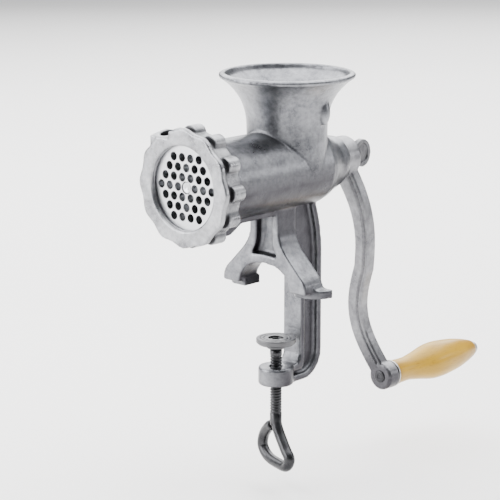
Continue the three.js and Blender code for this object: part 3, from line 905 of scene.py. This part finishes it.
def ear_outline():
    x, z = -26.8, axis_height + 35.5
    top = [(x - 1, z), (x + 11, z), (x + 14, z - 1.5), (x + 15, z - 5)]
    return [(x - 3, z - 15), (x - 3, z - 2), *top, (x + 15, z - 15)]


# Painted shade: the deep shadow colour and crevice=4.5 paint dark shade between the lobes
# and behind the flange.
ring_tin = tinned_iron(
    "tinned_ring", (0.40, 0.405, 0.42), (0.09, 0.09, 0.098), 0.2, 0.00005, crevice=4.5
)
lobe_sizes = {"Count": 12, "Circle": 35.5, "Radius": 6.0, "Length": 10.5, "Around": 40}
lobes = grown("ring_lobes", lobe_sizes, grip_lobes, ring_tin)
ring_cut = grown(
    "ring_thread",
    {"Radius": 35.6, "Depth": 0.9, "Pitch": 2.5, "Length": 16.0, "Around": 96, "Along": 64},
    screw_thread,
    ring_tin,
)
ear_top = axis_height + 35.5
ear_slope = [(ring_front - 1, ear_top - 3.6), (ring_front - 1, ear_top + 3)]
ear_slope += [(ring_rear, ear_top + 3), (ring_rear - 4, ear_top + 0.2)]
ring = shaped(
    "ring_nut_cast",
    [
        on_barrel(tube(0, 36.8, ring_front, ring_rear)),
        laid(lobes, (0, ring_rear - 5.25, axis_height), 90),
        wavy_flange(),
        slab(ear_outline(), ring_front + 0.4, ring_rear - 4, "Y"),
    ],
    [
        on_barrel([(0, ring_front - 1), (29.6, ring_front - 1), (28.5, ring_front + 1.2),
                   (28.5, ring_rear + 1), (0, ring_rear + 1)], 128),
        turned([(0, 115), (5.2, 115), (5.2, 122), (0, 122)], (-20.8, -84.2, 0), True, 40),
        slab(ear_slope, -34, -12.5, "X"),
        on_barrel(tube(0, 34.7, ring_front + 4, ring_rear + 1)),
    ],
)
softened(ring, 0.72, 2)
carve(ring, [laid(ring_cut, (0, ring_front + 12.1, axis_height), 90)], "DIFFERENCE")
fitted(ring, "ring", "cast_ring", ring_tin, "ring_nut")

# ---------------------------------------------------------------- crank
# One tinned casting: a hub on the screw's square, an S-shaped arm that leans out as it
# goes down, and a boss at its end that the grip's spindle is riveted into.

crank_reach = 165
crank_lean = 15.888
hub_front = 60.3
hub_rear = 75
arm_start = 64.7
boss_front = 95.2
boss_rear = 106.2
arm_thickness = 8.8


def arm_place(share):
    bulge = 9 if share < 0.5 else 14.5
    side = crank_lean * share + bulge * math.sin(2 * math.pi * share)
    return Vector((side, arm_start + 36 * share**0.8, axis_height - crank_reach * share))


def arm_section(width):
    """Across and through the arm: chamfered, with a groove beside its outer edge."""
    half, deep = width / 2, arm_thickness / 2
    return [
        (-half, 0.5 - deep),
        (0.5 - half, -deep),
        (half - 4.4, -deep),
        (half - 3.2, 1.8 - deep),
        (half - 2.0, -deep),
        (half - 0.9, -deep),
        (half, 1.2 - deep),
        (half, deep - 0.6),
        (half - 0.6, deep),
        (1.6 - half, deep),
        (-half, deep - 1.6),
    ]


def crank_bar():
    rings = []
    steps = 72
    for i in range(steps + 1):
        share = i / steps
        here = arm_place(share)
        ahead = arm_place(min(1, share + 0.01)) - arm_place(max(0, share - 0.01))
        across = Vector((-ahead.z, 0, ahead.x)).normalized()
        through = across.cross(ahead).normalized()
        if through.y < 0:
            through = -through
        width = 15.4 - 3 * min(1, share * 2.5)
        rings.append([here + across * u + through * v for u, v in arm_section(width)])
    return lofted(rings)


# Painted shade: below the given heights the boss and lower arm, face included, are darkened
# for the table's shadow.
crank_tin = tinned_iron(
    "tinned_crank",
    (0.27, 0.27, 0.281),
    (0.07, 0.07, 0.078),
    0.22,
    shaded=(-0.074, -0.05),
    front=0.15,
)
grip_centre = (crank_lean, 0, axis_height - crank_reach)
boss_line = [(0, boss_front), (8.7, boss_front), (10.1, boss_front + 1.4)]
boss_line += [(10.1, boss_rear - 0.6), (9.5, boss_rear), (0, boss_rear)]
hub_line = [(0, hub_front), (14.1, hub_front), (14.7, hub_front + 0.7)]
hub_line += [(14.7, hub_rear - 2.5), (12.4, hub_rear), (0, hub_rear)]
hub_square = [(6.3 * x, axis_height + 6.3 * z) for x, z in square]
spindle_bore = [(0, boss_front - 1), (3.5, boss_front - 1), (3.5, boss_rear + 1)]
crank = shaped(
    "crank_arm_cast",
    [crank_bar(), on_barrel(hub_line), turned(boss_line, grip_centre)],
    [
        slab(hub_square, hub_front - 1, hub_rear + 1, "Y"),
        turned([*spindle_bore, (0, boss_rear + 1)], grip_centre, segments=48),
    ],
)
softened(crank, 0.62, 2)
fitted(crank, "rotor", "cast_crank", crank_tin, "crank_arm")

# ---------------------------------------------------------------- thumb screw, washer
# A plain steel washer and a cast thumb screw, which hold the crank on its square. The
# wing is hollowed on both faces, and its stud is screwed into the feed screw's end.

bright_steel = turned_metal(
    "bright_washer", (0.46, 0.455, 0.44), (0.28, 0.275, 0.265), 0.2, barrel_centre, around_y
)
low, high = span("crank_washer")
flat_washer = shaped("crank_washer_flat", [on_barrel(tube(3.3, high.x, low.y, high.y))])
machined(flat_washer, 0.25)
fitted(flat_washer, "washer", "bright_steel", bright_steel, "crank_washer")

low, high = span("thumb_screw")
collar_front = 77.2
wing_centre = (high.y - 8.5, axis_height)


def ellipse(centre, wide, tall, count=72):
    angles = [2 * math.pi * i / count for i in range(count)]
    return [
        (centre[0] + wide * math.cos(a), centre[1] + tall * math.sin(a)) for a in angles
    ]


stud_length = collar_front - low.y + 1
stud_sizes = {
    "Radius": 3.0,
    "Depth": 0.5,
    "Pitch": 1.0,
    "Length": float(stud_length),
    "Around": 28,
    "Along": 168,
}
thumb_tin = tinned_iron("tinned_thumb_screw", (0.2, 0.2, 0.209), (0.04, 0.04, 0.045), 0.2)
stud_rod = grown("thumb_thread", stud_sizes, screw_thread, thumb_tin)
thumb = shaped(
    "thumb_screw_cast",
    [
        on_barrel([(0, collar_front), (6.4, collar_front), (7, collar_front + 0.6),
                   (6.4, 82.6), (4.6, 84), (0, 84)]),
        slab(ellipse(wing_centre, 8.5, 10), -2.25, 2.25, "X"),
    ],
    [
        slab(ellipse(wing_centre, 5.6, 7.3), 1.1, 4, "X"),
        slab(ellipse(wing_centre, 5.6, 7.3), -4, -1.1, "X"),
    ],
)
softened(thumb, 0.45, 2)
carve(thumb, [laid(stud_rod, (0, low.y + stud_length / 2, axis_height), 90)], "UNION")
fitted(thumb, "thumb_screw", "cast_crank", thumb_tin, "thumb_screw")

# ---------------------------------------------------------------- grip and its spindle
# A turned beech grip, varnished golden, that spins on a steel spindle between two
# washers. The spindle is riveted over in the crank's boss and headed at the other end.

grip_low, grip_high = span("grip")
grip_length = grip_high.y - grip_low.y
bore_clearance = 3.5


def on_spindle(profile, segments=72):
    return turned(profile, grip_centre, segments=segments)


def varnished_beech():
    finish = Finish("varnished_beech")
    grain = finish.spots(210, 4, stretch=(1, 0.05, 1), contrast=(0.3, 0.7))
    broad = finish.spots(60, 2, stretch=(1, 0.25, 1))
    pores = finish.spots(1500, 2, stretch=(1, 0.09, 1), contrast=(0.58, 0.7))
    y = finish.node("ShaderNodeSeparateXYZ", None, {0: finish.place}, output="Y")
    along = (y - grip_low.y * MM) / (grip_length * MM)
    ends = finish.node(
        "ShaderNodeValToRGB",
        {"stops": [(0, (0.5,) * 3), (0.05, (0.1,) * 3), (0.3, (0,) * 3), (0.8, (0.12,) * 3),
                   (1, (0.6,) * 3)]},
        {"Fac": along},
    )
    figure = grain * 0.6 + broad * 0.4
    gold = finish.blend(figure, (0.34, 0.185, 0.003), (0.5, 0.295, 0.007))
    aged = finish.blend(ends, gold, (0.19, 0.08, 0.003))
    return finish.coat(
        Base_Color=finish.blend(pores * 0.5, aged, (0.17, 0.075, 0.003)),
        Roughness=grain * 0.1 + 0.3,
        Normal=finish.bumped(grain + pores * -0.5, 0.00005, 0.4),
        Specular_IOR_Level=0.25,
        Coat_Weight=0.1,
        Coat_Roughness=0.16,
    )


def grip_line():
    """The grip's outline: a short shoulder, a slim neck, the belly, and a rounded end."""
    marks = [
        (0.0, 8.9), (0.012, 9.3), (0.05, 9.05), (0.10, 8.8), (0.19, 8.85), (0.31, 10.6),
        (0.44, 13.0), (0.53, 13.6), (0.62, 13.2), (0.755, 11.8), (0.87, 9.65), (0.95, 7.6),
        (0.985, 6.5), (1.0, 5.6),
    ]
    line = [(radius, grip_low.y + grip_length * share) for share, radius in marks]
    outside = eased(line, 5)
    return [(bore_clearance, grip_low.y), *outside, (bore_clearance, grip_high.y)]


beech = varnished_beech()
grip = shaped("grip_turned", [on_spindle(grip_line())])
machined(grip, 0.3)
fitted(grip, "grip", "varnished_wood", beech, "grip")

# Dark steel, made near black partly as painted shade: the spindle's head sits in the
# table's shadow on the crank's boss.
spindle_steel = turned_metal(
    "spindle_steel", (0.06, 0.06, 0.064), (0.025, 0.025, 0.027), 0.3,
    (crank_lean * MM, 0, grip_centre[2] * MM), around_y, 1800,
)
low, high = span("grip_spindle")
spindle = shaped(
    "grip_spindle_riveted",
    [
        on_spindle([
            (0, low.y + 0.5), (1.4, low.y + 0.4), (1.8, low.y), (3.6, low.y - 0.1),
            (4.5, low.y + 0.35), (4.6, low.y + 0.6), (3.2, low.y + 0.6),
            (3.2, high.y - 2.8), (4.6, high.y - 2.8), (4.5, high.y - 1.6),
            (3.4, high.y - 0.5), (1.8, high.y - 0.05), (0, high.y),
        ])
    ],
)
machined(spindle, 0.12)
fitted(spindle, "rotor", "dark_steel", spindle_steel, "grip_spindle")

for node in ("grip_washer_inner", "grip_washer_outer"):
    low, high = span(node)
    radius = (high.x - low.x) / 2
    seat = shaped(f"{node}_flat", [on_spindle(tube(bore_clearance, radius, low.y, high.y))])
    machined(seat, 0.3)
    fitted(seat, "rotor", "bright_steel", bright_steel, node)

# ---------------------------------------------------------------- clamp screw and pad
# A dark steel screw, threaded down to a finger eye bent from the same rod. Its tip is
# riveted over a small washer, which lets the pad stay still while the screw turns.

screw_radius = 4.25
thread_top = -46
thread_foot = -91
eye_neck = -98
rod_radius = 3.9


def oiled_steel(name, steel, dark, dullness):
    """Dark steel with a film of oil, and bright where it is handled."""
    finish = Finish(name)
    clouds = finish.spots(90, 3, contrast=(0.3, 0.7))
    fine = finish.spots(1100, 2)
    return finish.coat(
        Base_Color=finish.blend(clouds * 0.6 + fine * 0.4, dark, steel),
        Metallic=1.0,
        Roughness=clouds * 0.14 + fine * 0.1 + dullness,
        Normal=finish.bumped(fine + clouds, 0.00008, 0.7),
    )


def eye_rod():
    """The loop, from the shank down, round, and back up to tuck in beside the shank."""
    half = 17.85
    foot_z = -126.1
    line = eased([
        (0, -95), (half * 0.2, -102), (half * 0.7, -113), (half, foot_z + 7),
        (half * 0.8, foot_z + 1), (half * 0.35, foot_z), (-half * 0.5, foot_z + 1.5),
        (-half * 0.95, foot_z + 8), (-half * 0.85, foot_z + 17), (-half * 0.5, foot_z + 24),
        (-4.5, -99.5),
    ], 8)
    rings = [[(line[0][0], 0, line[0][1])]]
    for i, (x, z) in enumerate(line):
        before, after = line[max(0, i - 1)], line[min(len(line) - 1, i + 1)]
        run = Vector((after[0] - before[0], 0, after[1] - before[1])).normalized()
        side = Vector((run.z, 0, -run.x))
        radius = rod_radius * (0.8 if i == len(line) - 1 else 1)
        angles = [2 * math.pi * k / 28 for k in range(28)]
        rings.append([
            Vector((x, radius * math.sin(a), z)) + side * (radius * math.cos(a))
            for a in angles
        ])
    rings.append([(line[-1][0] + 0.4, 0, line[-1][1] + 0.8)])
    return laid(lofted(rings), (0, 0, 0), -15, "Z")


dark_oiled = oiled_steel("oiled_screw", (0.075, 0.075, 0.078), (0.02, 0.02, 0.022), 0.2)
thread_sizes = {
    "Radius": screw_radius,
    "Depth": 0.75,
    "Pitch": 2.0,
    "Length": float(thread_top - thread_foot),
    "Around": 32,
    "Along": 230,
}
threaded = grown("clamp_thread", thread_sizes, screw_thread, dark_oiled)
shoulder = -42.3
tip_top = -36.3
clamp_screw = shaped(
    "clamp_screw_bent",
    [
        turned([(0, eye_neck), (4.25, eye_neck), (4.25, thread_foot + 1.5),
                (3.4, thread_foot + 2.5), (0, thread_foot + 2.5)], upright=True),
        laid(threaded, (0, 0, (thread_top + thread_foot) / 2)),
        turned([(0, thread_top - 2), (3.4, thread_top - 2), (4.25, thread_top - 1),
                (4.25, shoulder), (2.6, shoulder), (2.6, tip_top - 0.3),
                (2.2, tip_top), (0, tip_top + 0.1)], upright=True),
        eye_rod(),
    ],
)
fitted(clamp_screw, "clamp_screw", "dark_steel", dark_oiled, "clamp_screw")

low, high = span("pad_retainer")
keeper_line = tube(2.9, high.x, low.z, high.z)
keeper = shaped("pad_retainer_riveted", [turned(keeper_line, upright=True, segments=64)])
machined(keeper, 0.2)
fitted(keeper, "clamp_screw", "dark_steel", dark_oiled, "pad_retainer")

pad_steel = turned_metal(
    "pad_steel", (0.15, 0.15, 0.156), (0.07, 0.07, 0.074), 0.3, (0, 0, 0), around_z, 1500
)
low, high = span("clamp_pad")
pad_top, pad_rim = high.z, low.z + 3
pad_line = [
    (2.9, low.z), (6.2, low.z), (7, low.z + 0.8), (7.4, pad_rim - 0.6), (8.4, pad_rim),
    (12.6, pad_rim), (14, pad_rim + 1.4), (14, pad_top - 0.5), (13.5, pad_top),
    (11.6, pad_top), (11.1, pad_top - 0.5), (10.6, pad_top), (9.2, pad_top),
    (8.7, pad_top - 0.5), (8.2, pad_top), (5.6, pad_top), (5.3, pad_top - 0.3),
    (5.3, -37.2), (2.9, -37.2),
]
pad = shaped("clamp_pad_turned", [turned(pad_line, upright=True)])
machined(pad, 0.2)
fitted(pad, "pad", "dark_steel", pad_steel, "clamp_pad")

# ---------------------------------------------------------------- stage
# A plain pale floor below the hanging clamp screw, one wide soft light overhead with
# weaker ones at the left and behind, and a long lens in front of the outlet and to its
# right, a little above the hopper.


def lamp(name, place, aim, size, power):
    light = bpy.data.lights.new(name, "AREA")
    light.shape = "RECTANGLE"
    light.size, light.size_y = size
    light.energy = power
    holder = bpy.data.objects.new(name, light)
    bpy.context.scene.collection.objects.link(holder)
    holder.location = place
    towards = Vector(aim) - Vector(place)
    holder.rotation_euler = towards.to_track_quat("-Z", "Y").to_euler()


middle = (0, 0.05, 0.05)
lamp("top_light", (-0.5, 0.3, 1.5), middle, (3.6, 3.6), 260)
lamp("left_light", (-0.95, -1.35, 0.45), middle, (1.2, 0.9), 40)
lamp("back_light", (1.05, 1.6, 1.33), middle, (1.6, 0.8), 9)
lamp("band_light", (1.45, 1.6, 0.43), middle, (1.0, 0.16), 8)
lamp("far_light", (-1.9, 2.0, 0.75), middle, (2.0, 0.9), 14)

world = bpy.data.worlds.new("soft_room")
world.use_nodes = True
world.node_tree.nodes["Background"].inputs["Color"].default_value = (0.36, 0.37, 0.39, 1)
bpy.context.scene.world = world

floor_size = 7
floor_drop = 0.014  # room for the clamp screw at its lowest
floor_mesh = bmesh.new()
bmesh.ops.create_grid(floor_mesh, x_segments=1, y_segments=1, size=floor_size)
floor = as_object("floor", floor_mesh)
floor.data.transform(Matrix.Translation((0, 0, cad_box[0][2] - floor_drop)))
pale = Finish("pale_floor")
cloud = pale.spots(3, 2)
floor.data.materials.append(
    pale.coat(
        Base_Color=pale.blend(cloud, (0.86, 0.85, 0.84), (0.9, 0.89, 0.88)),
        Roughness=0.7,
    )
)

camera_data = bpy.data.cameras.new("camera")
camera_data.lens = 160.4
camera_data.sensor_width = 36
camera_data.clip_end = 30
camera = bpy.data.objects.new("camera", camera_data)
bpy.context.scene.collection.objects.link(camera)
back = Vector((0.6650, -0.7132, 0.2217)).normalized()
right = Vector((0.7314, 0.6820, 0)).normalized()
turn = Matrix((right, back.cross(right), back)).transposed().to_4x4()
camera.matrix_world = Matrix.Translation((1.0154, -1.1157, 0.3712)) @ turn
bpy.context.scene.camera = camera
